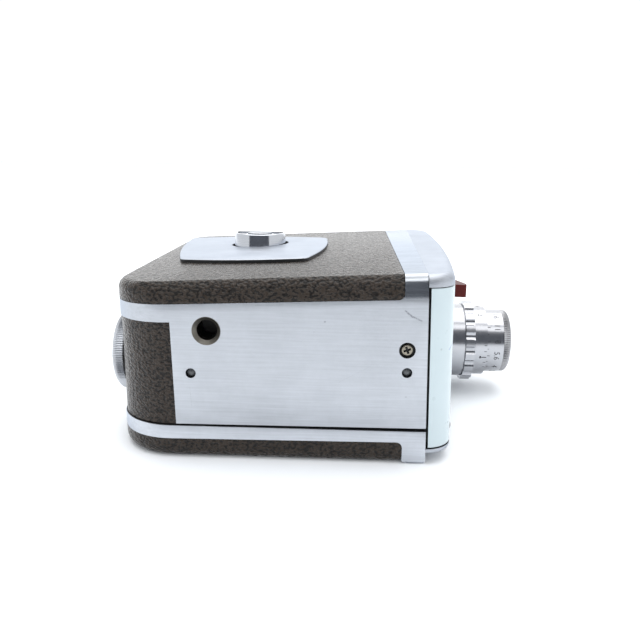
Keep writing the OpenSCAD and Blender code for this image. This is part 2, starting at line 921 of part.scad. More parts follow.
module release_button()
    color([0.42, 0.12, 0.10])
        released(0.25)
            linear_extrude(release_w)
                polygon([
                    [0, -release_h / 2], [4.3, -release_h / 2], [4.3, -release_h / 2 + 1.8],
                    [0.8, release_h / 2], [0, release_h / 2]
                ]);

module release_stem()
    color([0.66, 0.67, 0.70])
        released(0.25)
            union() {
                translate([-5.2, -2, 1])
                    cube([5.2, 4, release_w - 2]);
                translate([-5.2, -3.4, -1])
                    cube([1.2, 6.8, release_w + 2]);
            }

// ---- film door ----

module film_door()
    color([0.82, 0.84, 0.87])
        difference() {
            body_slab(0, 0, 0, door_z, door_rise);
            ahead();
            difference() {
                door_zone();
                body_slab(skin, skin, 0, 20, 0, 0, 200);
            }
            body_slab(wall, skin + 1.6, 0, 20, 0, 0, bulkhead_x + 1);
            disc(latch_x, latch_y, -past, latch_r + gap, 1.4 + past);
            disc(latch_x, latch_y, -past, 2 + fit, 8);
        }

module door_leather()
    color([0.22, 0.21, 0.20])
        difference() {
            intersection() {
                body_slab(0, 0, 0, 20, 0);
                door_zone(0.05);
            }
            body_slab(skin, skin, 0, 20, 0, -20, 200);
            disc(latch_x, latch_y, -past, latch_r + gap, 2 + past);
        }

module door_latch()
    color([0.80, 0.81, 0.84])
        difference() {
            union() {
                disc(latch_x, latch_y, 0.3, latch_r, 0.9);
                disc(latch_x, latch_y, 0.3, 2, 3.2);
                block([latch_x - 2.4, latch_x + 2.4], [latch_y - 2.4, latch_y + 9], [3.3, 4.3]);
            }
            block([latch_x - 1, latch_x + 1], [latch_y - 7, latch_y + 7], [-past, 0.8]);
        }

module knuckle(x0, x1, bore)
    tube_x(x0, hinge_y, hinge_z, hinge_r, bore, x1 - x0);

module hinge_body_leaf()
    color([0.70, 0.71, 0.73])
        for (k = [[hinge_x[0], hinge_x[1]], [hinge_x[2], hinge_x[3]]])
            difference() {
                union() {
                    knuckle(k[0], k[1], 0.8);
                    block(k, [body_h, hinge_y], [hinge_z + 0.9, hinge_z + hinge_r]);
                    block(k, [body_h, body_h + 0.8], [hinge_z + 0.9, hinge_z + 6]);
                }
                along_x(k[0] - past, hinge_y, hinge_z, 0.8, k[1] - k[0] + 2 * past);
            }

module hinge_door_leaf()
    color([0.70, 0.71, 0.73])
        difference() {
            union() {
                knuckle(hinge_x[1] + gap, hinge_x[2] - gap, 0.8 + fit);
                block([hinge_x[1] + gap, hinge_x[2] - gap], [body_h, hinge_y],
                      [hinge_z - hinge_r, hinge_z - 0.9]);
                block([hinge_x[1] + gap, hinge_x[2] - gap], [body_h, body_h + 0.8],
                      [6.4, hinge_z - 0.9]);
            }
            along_x(hinge_x[1] - past, hinge_y, hinge_z, 0.8 + fit, 30);
        }

module hinge_pin()
    color([0.66, 0.67, 0.70])
        along_x(hinge_x[0] + 0.2, hinge_y, hinge_z, 0.8, hinge_x[3] - hinge_x[0] - 0.4);

// ---- lens ----

lens_x = 105;
focus_x = 114.5;
index_x = 118;
aperture_x = 122.9;
rim_x = 129.1;
core_r = 10.2;

module lens_barrel()
    color([0.76, 0.77, 0.80])
        difference() {
            union() {
                tube_x(lens_x - 4, lens_y, lens_z, 12.5, 9, 5);
                tube_x(lens_x, lens_y, lens_z, barrel_r, 9, focus_x - lens_x - 0.1);
                tube_x(focus_x - 2, lens_y, lens_z, core_r, 9, lens_end_x - focus_x - 0.4);
            }
            along_x(lens_x - 5, lens_y, lens_z, 9, 40);
        }

module focus_ring()
    color([0.80, 0.81, 0.84])
        difference() {
            along_x(focus_x, lens_y, lens_z, focus_r, index_x - focus_x - 0.1);
            along_x(focus_x - past, lens_y, lens_z, core_r + fit, 8);
            for (i = [0:17])
                translate([0, lens_y, lens_z])
                    rotate([20 * i, 0, 0])
                        along_x(focus_x - past, focus_r + 1.1, 0, 1.9, 8);
        }

module index_collar()
    color([0.76, 0.77, 0.80])
        tube_x(index_x, lens_y, lens_z, index_r, core_r, aperture_x - index_x - 0.1);

module aperture_ring()
    color([0.78, 0.79, 0.82])
        tube_x(aperture_x, lens_y, lens_z, aperture_r, core_r + fit, rim_x - aperture_x);

module front_rim()
    color([0.42, 0.43, 0.45])
        turned_x(rim_x, lens_y, lens_z, [
            [0, core_r + fit], [0, aperture_r - 0.2], [2.4, aperture_r - 0.2],
            [lens_end_x - rim_x, aperture_r - 1.1], [lens_end_x - rim_x, core_r + fit]
        ]);

// A glass element of thickness t at its middle, between two spherical faces of radius r
module element(x, r, half, t)
    let (a = asin(half / r))
    turned_x(x, lens_y, lens_z, concat(
        [for (i = [0:8]) [r - t / 2 - r * cos(a * i / 8), r * sin(a * i / 8)]],
        [for (i = [8:-1:0]) [t / 2 - r + r * cos(a * i / 8), r * sin(a * i / 8)]]
    ));

module front_element()
    color([0.60, 0.70, 0.85, 0.5])
        element(lens_end_x - 5.5, 30, 8.95, 5);

module rear_element()
    color([0.60, 0.70, 0.85, 0.5])
        element(lens_x + 1, 30, 8.95, 4.4);

module iris_plate()
    color([0.10, 0.10, 0.11])
        tube_x(115, lens_y, lens_z, 8.95, 4, 0.6);

module placed()
    translate(shift)
        children();

placed() body_casting();
placed() tripod_bush();
placed() base_screw();
placed() rear_leather();
placed() side_cover();
placed() side_leather();
placed() escutcheon_plate();
placed() front_housing();
placed() front_panel();
placed() viewfinder_tube();
placed() viewfinder_objective();
placed() eyepiece_ring();
placed() eyepiece_glass();
placed() movement_plate();
placed() plate_pillars();
placed() plate_screws();
placed() supply_spindle();
placed() roller_pins();
placed() upper_film_roller();
placed() lower_film_roller();
placed() aperture_plate();
placed() gate_bracket();
placed() pressure_plate();
placed() film_claw();
placed() shutter();
placed() third_wheel();
placed() second_wheel();
placed() governor();
placed() barrel_drum();
placed() mainspring();
placed() winding_arbor();
placed() winding_hub();
placed() winding_bail();
placed() takeup_gear();
placed() takeup_spool();
placed() supply_spool();
placed() footage_dial();
placed() panel_rivets();
placed() release_button();
placed() release_stem();
placed() film_door();
placed() door_leather();
placed() door_latch();
placed() hinge_body_leaf();
placed() hinge_door_leaf();
placed() hinge_pin();
placed() lens_barrel();
placed() focus_ring();
placed() index_collar();
placed() aperture_ring();
placed() front_rim();
placed() front_element();
placed() rear_element();
placed() iris_plate();
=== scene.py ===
"""A spring-wound cine camera lying on its film door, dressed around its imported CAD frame.

Lengths are in metres. Points that a comment calls body points start at the body's rear base
corner: x runs forward from the rear face, y in from the base face, z up from the film door.
"""
import json
import math

import bmesh
import bpy
from mathutils import Matrix, Vector


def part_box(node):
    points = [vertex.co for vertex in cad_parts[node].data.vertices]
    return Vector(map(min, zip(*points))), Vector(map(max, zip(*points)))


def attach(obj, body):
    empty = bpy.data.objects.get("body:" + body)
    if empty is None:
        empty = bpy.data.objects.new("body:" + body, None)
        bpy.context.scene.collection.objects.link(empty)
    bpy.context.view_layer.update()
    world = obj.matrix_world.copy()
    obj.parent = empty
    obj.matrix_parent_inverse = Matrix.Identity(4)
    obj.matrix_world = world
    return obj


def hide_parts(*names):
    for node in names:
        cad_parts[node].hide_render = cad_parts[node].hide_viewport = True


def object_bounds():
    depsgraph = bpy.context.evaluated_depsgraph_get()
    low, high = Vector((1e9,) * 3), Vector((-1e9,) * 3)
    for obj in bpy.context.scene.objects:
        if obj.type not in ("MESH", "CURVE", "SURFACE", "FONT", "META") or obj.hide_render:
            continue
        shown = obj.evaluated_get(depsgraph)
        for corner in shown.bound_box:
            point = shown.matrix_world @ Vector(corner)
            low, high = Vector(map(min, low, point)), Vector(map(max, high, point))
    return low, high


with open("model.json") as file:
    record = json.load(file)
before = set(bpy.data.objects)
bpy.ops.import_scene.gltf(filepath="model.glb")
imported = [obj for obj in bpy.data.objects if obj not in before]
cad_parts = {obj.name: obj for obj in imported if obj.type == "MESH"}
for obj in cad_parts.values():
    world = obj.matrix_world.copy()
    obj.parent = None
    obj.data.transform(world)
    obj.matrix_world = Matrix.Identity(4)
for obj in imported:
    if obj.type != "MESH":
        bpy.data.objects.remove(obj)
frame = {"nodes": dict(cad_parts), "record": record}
cad_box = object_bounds()
NODES = frame["nodes"]

DIAL_PROUD = 0.005  # the rear dial stands this far behind the body
BODY_TALL = 0.116  # from the base face to the far side
SIDE_Z = 0.05224  # height of the winding side's plane at the rear face
SIDE_RISE = 0.0496  # and its rise for each metre forward
COVERING = 0.0006  # thickness of the leather
rear_x = cad_box[0][0] + DIAL_PROUD
origin = Vector((rear_x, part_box("body_casting")[0][1], 0))


def middle(node):
    lo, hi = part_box(node)
    return (Vector(lo) + Vector(hi)) / 2


def link_new(name, data):
    obj = bpy.data.objects.new(name, data)
    bpy.context.scene.collection.objects.link(obj)
    return obj


# ---- camera, solved from the photograph's outline ----
CAMERA_RIGHT = Vector((0.99896, 0.04401, 0.01176)).normalized()
CAMERA_UP = Vector((-0.02208, 0.24205, 0.97001))
CAMERA_PLACE = Vector((0.0698, -0.18078, 0.08868))  # a body point
cam = link_new("camera", bpy.data.cameras.new("camera"))
back = CAMERA_RIGHT.cross(CAMERA_UP).normalized()
turn = Matrix((CAMERA_RIGHT, back.cross(CAMERA_RIGHT), back)).transposed()
cam.matrix_world = Matrix.Translation(origin + CAMERA_PLACE) @ turn.to_4x4()
cam.data.sensor_width = 36
cam.data.lens = 37.164
cam.data.clip_start = 0.01
bpy.context.scene.camera = cam


# ---- material helpers ----
class Mat:
    """A Principled material with short calls for the nodes this scene uses."""

    def __init__(self, name, color, rough, metal=0.0, **sockets):
        self.mat = bpy.data.materials.new(name)
        self.mat.use_nodes = True
        self.tree = self.mat.node_tree
        self.bsdf = self.tree.nodes["Principled BSDF"]
        self.set("Base Color", (*color, 1))
        self.set("Roughness", rough)
        self.set("Metallic", metal)
        for key, value in sockets.items():
            self.set(key.replace("_", " "), value)
        self.coords = self.tree.nodes.new("ShaderNodeTexCoord").outputs["Object"]

    def set(self, socket, value):
        self.bsdf.inputs[socket].default_value = value

    def link(self, a, b):
        self.tree.links.new(a, b)

    def put(self, value, socket):
        """Link a node's output to a socket, or set the socket to a plain value."""
        if isinstance(value, bpy.types.NodeSocket):
            self.link(value, socket)
        else:
            socket.default_value = value

    def source(self, socket):
        """The output that feeds one of the shader's sockets."""
        return self.bsdf.inputs[socket].links[0].from_socket

    def node(self, kind, inputs=None, **props):
        n = self.tree.nodes.new(kind)
        for key, value in props.items():
            setattr(n, key, value)
        for key, value in (inputs or {}).items():
            self.put(value, n.inputs[key])
        return n

    def place(self, scale=(1, 1, 1), rotation=(0, 0, 0), location=(0, 0, 0)):
        n = self.node("ShaderNodeMapping", {"Vector": self.coords, "Scale": scale,
                                            "Rotation": rotation, "Location": location})
        return n.outputs[0]

    def axes(self, vector):
        return self.node("ShaderNodeSeparateXYZ", {"Vector": vector}).outputs

    def noise(self, scale, detail=3, rough=0.55, distortion=0.0, at=None):
        n = self.node("ShaderNodeTexNoise", {"Vector": at or self.place(), "Scale": scale,
                                             "Detail": detail, "Roughness": rough,
                                             "Distortion": distortion})
        return n.outputs["Fac"]

    def cells(self, scale, feature="F1", **inputs):
        n = self.node("ShaderNodeTexVoronoi", {"Vector": self.place(), "Scale": scale, **inputs},
                      feature=feature)
        return n.outputs["Distance"]

    def ramp(self, value, *stops):
        """A grey ramp between two stops of position and value."""
        n = self.node("ShaderNodeValToRGB", {"Fac": value})
        for slot, (position, grey) in zip(n.color_ramp.elements, stops):
            slot.position = position
            slot.color = (grey, grey, grey, 1)
        return n.outputs["Color"]

    def math(self, op, a, b=0.0, clamp=False):
        n = self.node("ShaderNodeMath", operation=op, use_clamp=clamp)
        self.put(a, n.inputs[0])
        self.put(b, n.inputs[1])
        return n.outputs[0]

    def blend(self, a, b, share):
        """share of a and the rest of b."""
        return self.math("ADD", self.math("MULTIPLY", a, share),
                         self.math("MULTIPLY", b, 1 - share))

    def mix(self, fac, a, b):
        """The colour a where fac is 0, and b where it is 1."""
        n = self.node("ShaderNodeMix", data_type="RGBA")
        self.put(fac, n.inputs[0])
        for value, socket in ((a, n.inputs[6]), (b, n.inputs[7])):
            self.put((*value, 1) if isinstance(value, tuple) else value, socket)
        return n.outputs[2]

    def color(self, value):
        self.link(value, self.bsdf.inputs["Base Color"])

    def rough(self, value, low, high):
        n = self.node("ShaderNodeMapRange", {"Value": value, "To Min": low, "To Max": high})
        self.link(n.outputs[0], self.bsdf.inputs["Roughness"])

    def bump(self, height, strength, distance):
        n = self.node("ShaderNodeBump",
                      {"Height": height, "Strength": strength, "Distance": distance})
        self.link(n.outputs[0], self.bsdf.inputs["Normal"])


def base_point(x, z):
    """The object's X and Z of a place on the base face, from a body point in millimetres."""
    return rear_x + x / 1000, z / 1000


def segment(m, p, q, width):
    """1 on the line from p to q, seen along Y, fading to 0 at width from it."""
    at = m.axes(m.coords)
    (px, pz), (qx, qz) = p, q
    length = math.hypot(qx - px, qz - pz)
    ux, uz = (qx - px) / length, (qz - pz) / length
    dx = m.math("SUBTRACT", at["X"], px)
    dz = m.math("SUBTRACT", at["Z"], pz)
    along = m.math("ADD", m.math("MULTIPLY", dx, ux), m.math("MULTIPLY", dz, uz))
    across = m.math("ABSOLUTE", m.math("SUBTRACT", m.math("MULTIPLY", dx, uz),
                                       m.math("MULTIPLY", dz, ux)))
    past = m.math("MAXIMUM", m.math("SUBTRACT", 0.0, along), m.math("SUBTRACT", along, length))
    far = m.math("ADD", across, m.math("MAXIMUM", past, 0.0))
    return m.math("SUBTRACT", 1.0, m.math("DIVIDE", far, width), True)


def shade(color, k):
    return tuple(c * k for c in color)


def leatherette(name, pit, ridge_color):
    """Coated cloth with a pressed grain of short winding ridges and pits. The pits are painted
    near black, partly the grain's own darker tone and partly painted shade in its hollows.
    """
    m = Mat(name, pit, 0.4, Specular_IOR_Level=0.22, Sheen_Weight=0.15, Sheen_Roughness=0.15,
            Coat_Weight=0.2, Coat_Roughness=0.16, Coat_IOR=1.4)
    worm = m.noise(980, 1.0, 0.35, 0.25, m.place((1, 1, 1.5), (0.5, 0.6, 0.4)))
    cell = m.cells(1150, "SMOOTH_F1", Smoothness=0.5)
    wear = m.noise(46, 4, 0.6)
    height = m.math("SUBTRACT", m.math("MULTIPLY", worm, 1.5), m.math("MULTIPLY", cell, 0.35))
    # Low grain is painted dark: the pits' own darker tone plus painted shade in them.
    ridge = m.ramp(height, (0.485, 0.0), (0.565, 1.0))
    m.color(m.mix(m.math("MULTIPLY", wear, 0.3), m.mix(ridge, pit, ridge_color),
                  shade(ridge_color, 1.4)))
    m.rough(m.blend(ridge, wear, 0.5), 0.4, 0.22)
    m.bump(height, 1.0, 0.0006)
    return m.mat


def brushed(name, color, rough, stretch):
    """Metal with fine brush lines, drawn out along the axis where stretch is small."""
    m = Mat(name, color, rough, 1.0)
    m.set("Specular Tint", (0.77, 0.82, 0.89, 1))
    lines = m.ramp(m.noise(1300, 5, 0.65, at=m.place(stretch)), (0.3, 0.0), (0.7, 1.0))
    cloud = m.ramp(m.noise(60, 6, 0.72), (0.3, 0.0), (0.7, 1.0))
    m.color(m.mix(m.blend(lines, cloud, 0.55), shade(color, 0.67), color))
    m.rough(m.blend(lines, cloud, 0.7), rough * 0.75, rough * 1.3)
    m.bump(lines, 0.12, 0.00008)
    return m


def turned(name, color, rough, center, axis="X"):
    """Metal with fine lathe lines round an axis through center."""
    m = Mat(name, color, rough, 1.0)
    at = m.axes(m.place(location=tuple(-c for c in center)))
    squares = [m.math("MULTIPLY", at[k], at[k]) for k in "XYZ" if k != axis]
    radius = m.math("SQRT", m.math("ADD", *squares))
    line = m.math("ADD", radius, m.math("MULTIPLY", at[axis], 0.83))
    lathe = m.node("ShaderNodeTexNoise",
                   {"W": m.math("MULTIPLY", line, 5200), "Scale": 1.0, "Detail": 3.0},
                   noise_dimensions="1D").outputs["Fac"]
    cloud = m.noise(160, 3)
    m.color(m.mix(m.math("MULTIPLY", m.math("ADD", lathe, cloud), 0.5), shade(color, 0.8), color))
    m.rough(lathe, rough * 0.7, rough * 1.35)
    m.bump(lathe, 0.18, 0.00006)
    return m


def cast_alloy():
    """Brushed casting with the base face's scratches, and a smoother strip at its upper edge."""
    scratches = [  # ends as body points in millimetres, half width in metres, darkness
        ((86.2, 46.6), (88.4, 44.8), 0.00040, 0.85),
        ((88.0, 45.1), (91.0, 43.7), 0.00032, 0.8),
        ((63.6, 42.9), (63.9, 42.9), 0.00035, 0.8),
        ((60.6, 39.9), (60.8, 39.8), 0.00022, 0.5),
        ((87.4, 21.0), (87.6, 21.0), 0.00028, 0.5),
        ((44.0, 47.2), (52.0, 47.6), 0.00012, 0.35),
        ((24.5, 22.4), (24.9, 16.0), 0.00012, 0.25),
        ((68.0, 25.0), (77.0, 30.0), 0.00010, 0.2),
    ]
    strip_z, strip_rise, strip_edge = 0.0462, 0.0394, 1200
    m = brushed("cast_alloy", (0.565, 0.59, 0.63), 0.36, (0.035, 1, 1))
    marks = 0.0
    for p, q, width, dark in scratches:
        mark = m.math("MULTIPLY", segment(m, base_point(*p), base_point(*q), width), dark)
        marks = m.math("MAXIMUM", marks, mark)
    speck = m.noise(2600, 2, 0.5)
    marks = m.math("MULTIPLY", marks, m.ramp(speck, (0.36, 0.25), (0.56, 1.0)))
    at = m.axes(m.coords)
    edge = m.math("ADD", strip_z,
                  m.math("MULTIPLY", m.math("SUBTRACT", at["X"], rear_x), strip_rise))
    strip = m.math("MULTIPLY", m.math("SUBTRACT", at["Z"], edge), strip_edge, True)
    smooth = m.math("SUBTRACT", 1.0, m.math("MULTIPLY", strip, 0.5))
    m.link(m.math("MULTIPLY", m.source("Roughness"), smooth), m.bsdf.inputs["Roughness"])
    m.color(m.mix(marks, m.source("Base Color"), (0.12, 0.12, 0.14)))
    return m.mat


def front_enamel():
    """Pale enamel, chipped in places, with one blue scuff."""
    m = Mat("front_enamel", (0.5, 0.6, 0.62), 0.3, Coat_Weight=0.3, Coat_Roughness=0.12)
    m.rough(m.noise(300, 4), 0.22, 0.38)
    m.bump(m.noise(700, 3), 0.05, 0.00005)
    chips = m.ramp(m.cells(150), (0.045, 1.0), (0.075, 0.0))
    tint = m.mix(m.math("MULTIPLY", m.noise(60, 3), 0.3), (0.52, 0.60, 0.63),
                 (0.44, 0.545, 0.575))
    tint = m.mix(m.math("MULTIPLY", chips, 0.45), tint, (0.25, 0.30, 0.30))
    scuff = segment(m, base_point(99.6, 34.6), base_point(101.2, 36.4), 0.00022)
    m.color(m.mix(m.math("MULTIPLY", scuff, 0.8), tint, (0.05, 0.14, 0.42)))
    return m.mat


def plain(name, color, rough, noise, strength, distance, **sockets):
    """A paint or plastic with a faint bump of the given noise."""
    m = Mat(name, color, rough, **sockets)
    m.bump(m.noise(*noise), strength, distance)
    return m.mat


lens_c = middle("lens_barrel")
black = plain("black_metal", (0.012, 0.012, 0.013), 0.55, (2400, 2), 0.2, 0.00004)
ink = Mat("ink", (0.03, 0.03, 0.035), 0.5)
ink.rough(ink.noise(1800, 2), 0.4, 0.6)
M = {
    # The near-black pit colour holds painted shade in the grain's pits as well as their own tone.
    "leatherette": leatherette("leatherette", (0.0004, 0.0003, 0.0003), (0.031, 0.0228, 0.0172)),
    "cast_alloy": cast_alloy(),
    "front_enamel": front_enamel(),
    "machined_aluminium": turned("machined_aluminium", (0.5, 0.505, 0.53), 0.2, lens_c).mat,
    "dark_rim": turned("dark_rim", (0.34, 0.34, 0.35), 0.25, lens_c).mat,
    "chrome": turned("chrome", (0.58, 0.60, 0.64), 0.1, middle("winding_hub"), "Z").mat,
    "dial_metal": turned("dial_metal", (0.5, 0.515, 0.545), 0.3, middle("footage_dial")).mat,
    "black_metal": black,
    "black_plastic": black,
    "red_plastic": plain("red_plastic", (0.085, 0.006, 0.005), 0.4, (900, 3), 0.12, 0.0001,
                         Specular_IOR_Level=0.2),
    "glass": Mat("glass", (0.86, 0.90, 0.98), 0.02, Transmission_Weight=1.0, IOR=1.5).mat,
    "ink": ink.mat,
}
for name, color, rough, stretch in (
    ("door_metal", (0.70, 0.73, 0.78), 0.42, (0.035, 1, 1)),
    ("housing_satin", (0.56, 0.585, 0.63), 0.5, (0.05, 1, 1)),
    ("pressed_sheet", (0.45, 0.46, 0.48), 0.4, (0.1, 1, 1)),
    ("brushed_plate", (0.56, 0.585, 0.63), 0.42, (0.05, 1, 1)),
    ("bare_steel", (0.42, 0.41, 0.39), 0.3, (1, 1, 1)),
    ("spring_steel", (0.10, 0.12, 0.17), 0.3, (1, 1, 0.1)),
    ("brass", (0.70, 0.50, 0.20), 0.28, (1, 1, 1)),
    ("bush_bronze", (0.17, 0.16, 0.14), 0.35, (1, 1, 1)),
    ("screw_steel", (0.36, 0.33, 0.27), 0.35, (1, 1, 1)),
    # the dark hole colour is painted shade at the bottom of the locating holes
    ("hole_steel", (0.16, 0.165, 0.17), 0.45, (1, 1, 1)),
):
    M[name] = brushed(name, color, rough, stretch).mat

slots = {s["node"]: s["material_slot"] for s in frame["record"]["subparts"]}
for name, obj in NODES.items():
    mat = M[slots[name]]
    if obj.data.materials:
        for i in range(len(obj.data.materials)):
            obj.data.materials[i] = mat
    else:
        obj.data.materials.append(mat)
NODES["tripod_bush"].data.materials[0] = M["bush_bronze"]
FINISH = {"front_housing": "housing_satin", "film_door": "door_metal"}


# ---- rounded copies of the CAD shells; a and b are an edge's ends, as body points ----
def near(value, target, tol=0.00006):
    return abs(value - target) < tol


def top_z(x):
    """Height of the winding side's own plane."""
    return SIDE_Z + SIDE_RISE * x


def on_top(a, b, drop=0.0):
    return near(a.z, top_z(a.x) - drop) and near(b.z, top_z(b.x) - drop)


def at_height(a, b, z):
    return near(a.z, z) and near(b.z, z)


def at_end(a, b, x):
    return a.x > x and b.x > x


def outer(a, b, margin=0.0007):
    """The edge lies on the body's outline, not round a hole in the face."""
    mid = (a + b) / 2
    hub = Vector((0.036, 0.073, mid.z))
    latch = Vector((0.070, 0.022, mid.z))
    if mid.x < margin or mid.y < margin or mid.y > BODY_TALL - margin:
        return True
    return (mid - hub).length > 0.02 and (mid - latch).length > 0.012


def seam_edge(a, b):
    """The edge lies along the seam between the casting and the front housing."""
    return max(a.x, b.x) < 0.0962 and abs(a.y - b.y) > abs(a.x - b.x)


def depth(c):
    """How far a body point is inside the body's rounded outline, seen from the winding side."""
    for x, y, r in ((0.018, 0.018, 0.018), (0.008, 0.108, 0.008)):
        if c.x < x and (c.y < y if y < BODY_TALL / 2 else c.y > y):
            return r - math.hypot(c.x - x, c.y - y)
    return min(c.x, c.y, BODY_TALL - c.y)


def shoulder(bm, reach=0.0090, inset=0.0022, band=0.0035, steps=10):
    """Lean the near face gently inwards over the last few millimetres under the winding side."""
    for k in range(1, steps + 1):
        plane = origin + Vector((0, 0, top_z(0) - reach * k / steps))
        bmesh.ops.bisect_plane(bm, geom=bm.verts[:] + bm.edges[:] + bm.faces[:], dist=1e-7,
                               plane_co=plane, plane_no=Vector((-SIDE_RISE, 0, 1)).normalized())
    for v in bm.verts:
        p = v.co - origin
        t = 1 - (top_z(p.x) - p.z) / reach
        if t > 0 and p.y < band:
            v.co.y += inset * t * t * (1 - p.y / band)


def sharp_edges(bm, degrees):
    return [e for e in bm.edges
            if len(e.link_faces) == 2 and e.calc_face_angle(0) > math.radians(degrees)]


def shade_smooth(bm, degrees):
    """Smooth faces, with the edges that turn by more than this kept sharp."""
    for f in bm.faces:
        f.smooth = True
    for e in bm.edges:
        e.smooth = len(e.link_faces) == 2 and e.calc_face_angle(0) < math.radians(degrees)


def rework(node, body, *bevels, paint=None, relief=None):
    """A copy of a CAD node, with the edges that each test picks rounded to its width.

    paint says which faces are black, and relief changes the mesh after the bevels."""
    bm = bmesh.new()
    bm.from_mesh(NODES[node].data)
    bmesh.ops.remove_doubles(bm, verts=bm.verts, dist=0.00006)
    bmesh.ops.dissolve_limit(bm, angle_limit=math.radians(0.4), verts=bm.verts, edges=bm.edges)
    for test, width, segments in bevels:
        picked = [e for e in sharp_edges(bm, 28)
                  if test(*(v.co - origin for v in e.verts), e)]
        bmesh.ops.bevel(bm, geom=picked, offset=width, segments=segments, profile=0.5,
                        affect="EDGES", clamp_overlap=False)
    if relief:
        relief(bm)
    for f in bm.faces:
        if paint and paint(f.calc_center_median() - origin, f.normal):
            f.material_index = 1
    shade_smooth(bm, 35)
    mesh = bpy.data.meshes.new(node + "_skin")
    bm.to_mesh(mesh)
    bm.free()
    obj = link_new(node + "_skin", mesh)
    obj.data.materials.append(M[FINISH.get(node, slots[node])])
    if paint:
        obj.data.materials.append(M["black_metal"])
    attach(obj, body)
    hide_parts(node)


def top_rim(drop, end):
    """Edges of the winding side's outline, drop below its plane, up to end."""
    return lambda a, b, e: on_top(a, b, drop) and outer(a, b) and not at_end(a, b, end)


def foot_rim(z, end):
    """Edges of the film door's outline at a height, up to end."""
    return lambda a, b, e: at_height(a, b, z) and outer(a, b) and not at_end(a, b, end)


def inside(c, skin):
    """Well inside the outline and under the winding side's plane."""
    return depth(c) > skin and c.z < top_z(c.x) - 0.0008


def casting_paint(c, n):
    """Faces of the casting that only show in the seams, painted black: partly a black-painted
    inside, partly painted shade that keeps the seams dark.
    """
    seat = abs(n.z) > 0.9 and 0.0085 < c.z < 0.0118
    front = abs(n.x) > 0.85 and 0.0905 < c.x < 0.0965
    ledge = n.z > 0.9 and 0.044 < c.z < 0.0515
    # The screw's counterbore is painted black: painted shadow round the screw head.
    counterbore = abs(c.x - 0.0873) < 0.0024 and abs(c.z - 0.035) < 0.0024 and c.y > 0.0001
    return seat or front or ledge or counterbore or inside(c, 0.0024)


def housing_paint(c, n):
    # Seam, hollow and panel-seat faces painted black: partly a black-painted inside, partly
    # painted shade in the gaps.
    back_face = n.x < -0.85 and c.x < 0.0965
    hollow = inside(c, 0.0024) and c.x < 0.1 and n.x < 0.2
    panel_seats = abs(n.z) > 0.9 and (0.0526 < c.z < 0.0536 or 0.0044 < c.z < 0.0052)
    return back_face or hollow or panel_seats


def door_paint(c, n):
    # Rim, seam and hollow faces painted black: partly a black-painted inside, partly painted shade
    # in the gaps.
    rim = n.z > 0.9 and c.z > 0.002
    front = n.x > 0.85 and c.x > 0.0905
    hollow = depth(c) > 0.0022 and c.z > 0.0021
    return rim or front or hollow


rework("side_leather", "camera_body",
       (top_rim(0.0, 0.0855), 0.0028, 7),
       (top_rim(COVERING, 0.085), 0.0023, 4),
       (lambda a, b, e: e.is_convex and (at_end(a, b, 0.0852) or (
           max(a.z, b.z) < 0.0508 and min(a.y, b.y, a.x, b.x) < 0.0002)), 0.00018, 2),
       relief=shoulder)
rework("side_cover", "camera_body", (top_rim(COVERING, 0.085), 0.0023, 4), relief=shoulder)
rework("door_leather", "door",
       (foot_rim(0, 0.0865), 0.0034, 7),
       (foot_rim(COVERING, 0.0862), 0.0029, 5))
rework("film_door", "door",
       (foot_rim(COVERING, 0.0862), 0.0028, 5),
       (lambda a, b, e: at_height(a, b, 0) and (a.y < 0.002 or a.y > 0.114), 0.0012, 4),
       (lambda a, b, e: min(a.z, b.z) > 0.0098 and e.is_convex and outer(a, b), 0.00025, 2),
       paint=door_paint)
rework("front_housing", "camera_body",
       (lambda a, b, e: on_top(a, b) and e.is_convex and not seam_edge(a, b), 0.0027, 7),
       (lambda a, b, e: at_height(a, b, 0.0033) and e.is_convex and not seam_edge(a, b),
        0.0009, 4),
       paint=housing_paint)
rework("body_casting", "camera_body",
       (lambda a, b, e: on_top(a, b) and e.is_convex
        and (max(a.y, b.y) < 0.002 or min(a.y, b.y) > 0.114), 0.0026, 7),
       (lambda a, b, e: e.is_convex and min(a.z, b.z) > 0.0104 and max(a.z, b.z) < 0.0113
        and outer(a, b), 0.00025, 2),
       relief=shoulder, paint=casting_paint)
rework("front_panel", "camera_body",
       (lambda a, b, e: e.is_convex and (min(a.z, b.z) > 0.0529 or max(a.z, b.z) < 0.0054),
        0.0003, 3))
# The escutcheon plate's side faces are painted black as painted shade and painted reflection along
# its edges.
rework("escutcheon_plate", "camera_body",
       (lambda a, b, e: e.is_convex and e.calc_face_angle(0) > 1.0
        and min(a.z - top_z(a.x), b.z - top_z(b.x)) > 0.0004, 0.0003, 3),
       paint=lambda c, n: abs(n.z) < 0.3)


def turned_hub(bm):
    """Cut the hub's wall into fine steps, lean it in a little and round its top edge."""
    hub_r, lean_height, lean = 0.010, 0.0045, 0.05
    mid = middle("winding_hub")
    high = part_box("winding_hub")[1][2]

    def radius(v):
        return math.hypot(v.co.x - mid.x, v.co.y - mid.y)

    for k in range(36):
        a = math.radians(5 * k + 2.5)
        bmesh.ops.bisect_plane(bm, geom=bm.verts[:] + bm.edges[:] + bm.faces[:], dist=1e-6,
                               plane_co=mid, plane_no=(math.cos(a), math.sin(a), 0))
    for v in bm.verts:
        if radius(v) > hub_r * 0.965:
            rise = max(0, v.co.z - high + lean_height) / lean_height
            k = hub_r * (1 - lean * rise) / radius(v)
            v.co.x = mid.x + (v.co.x - mid.x) * k
            v.co.y = mid.y + (v.co.y - mid.y) * k
    rim = [e for e in sharp_edges(bm, 40)
           if all(near(v.co.z, high) and radius(v) > hub_r * 0.93 for v in e.verts)]
    bmesh.ops.bevel(bm, geom=rim, offset=0.0005, segments=4, profile=0.5, affect="EDGES",
                    clamp_overlap=False)


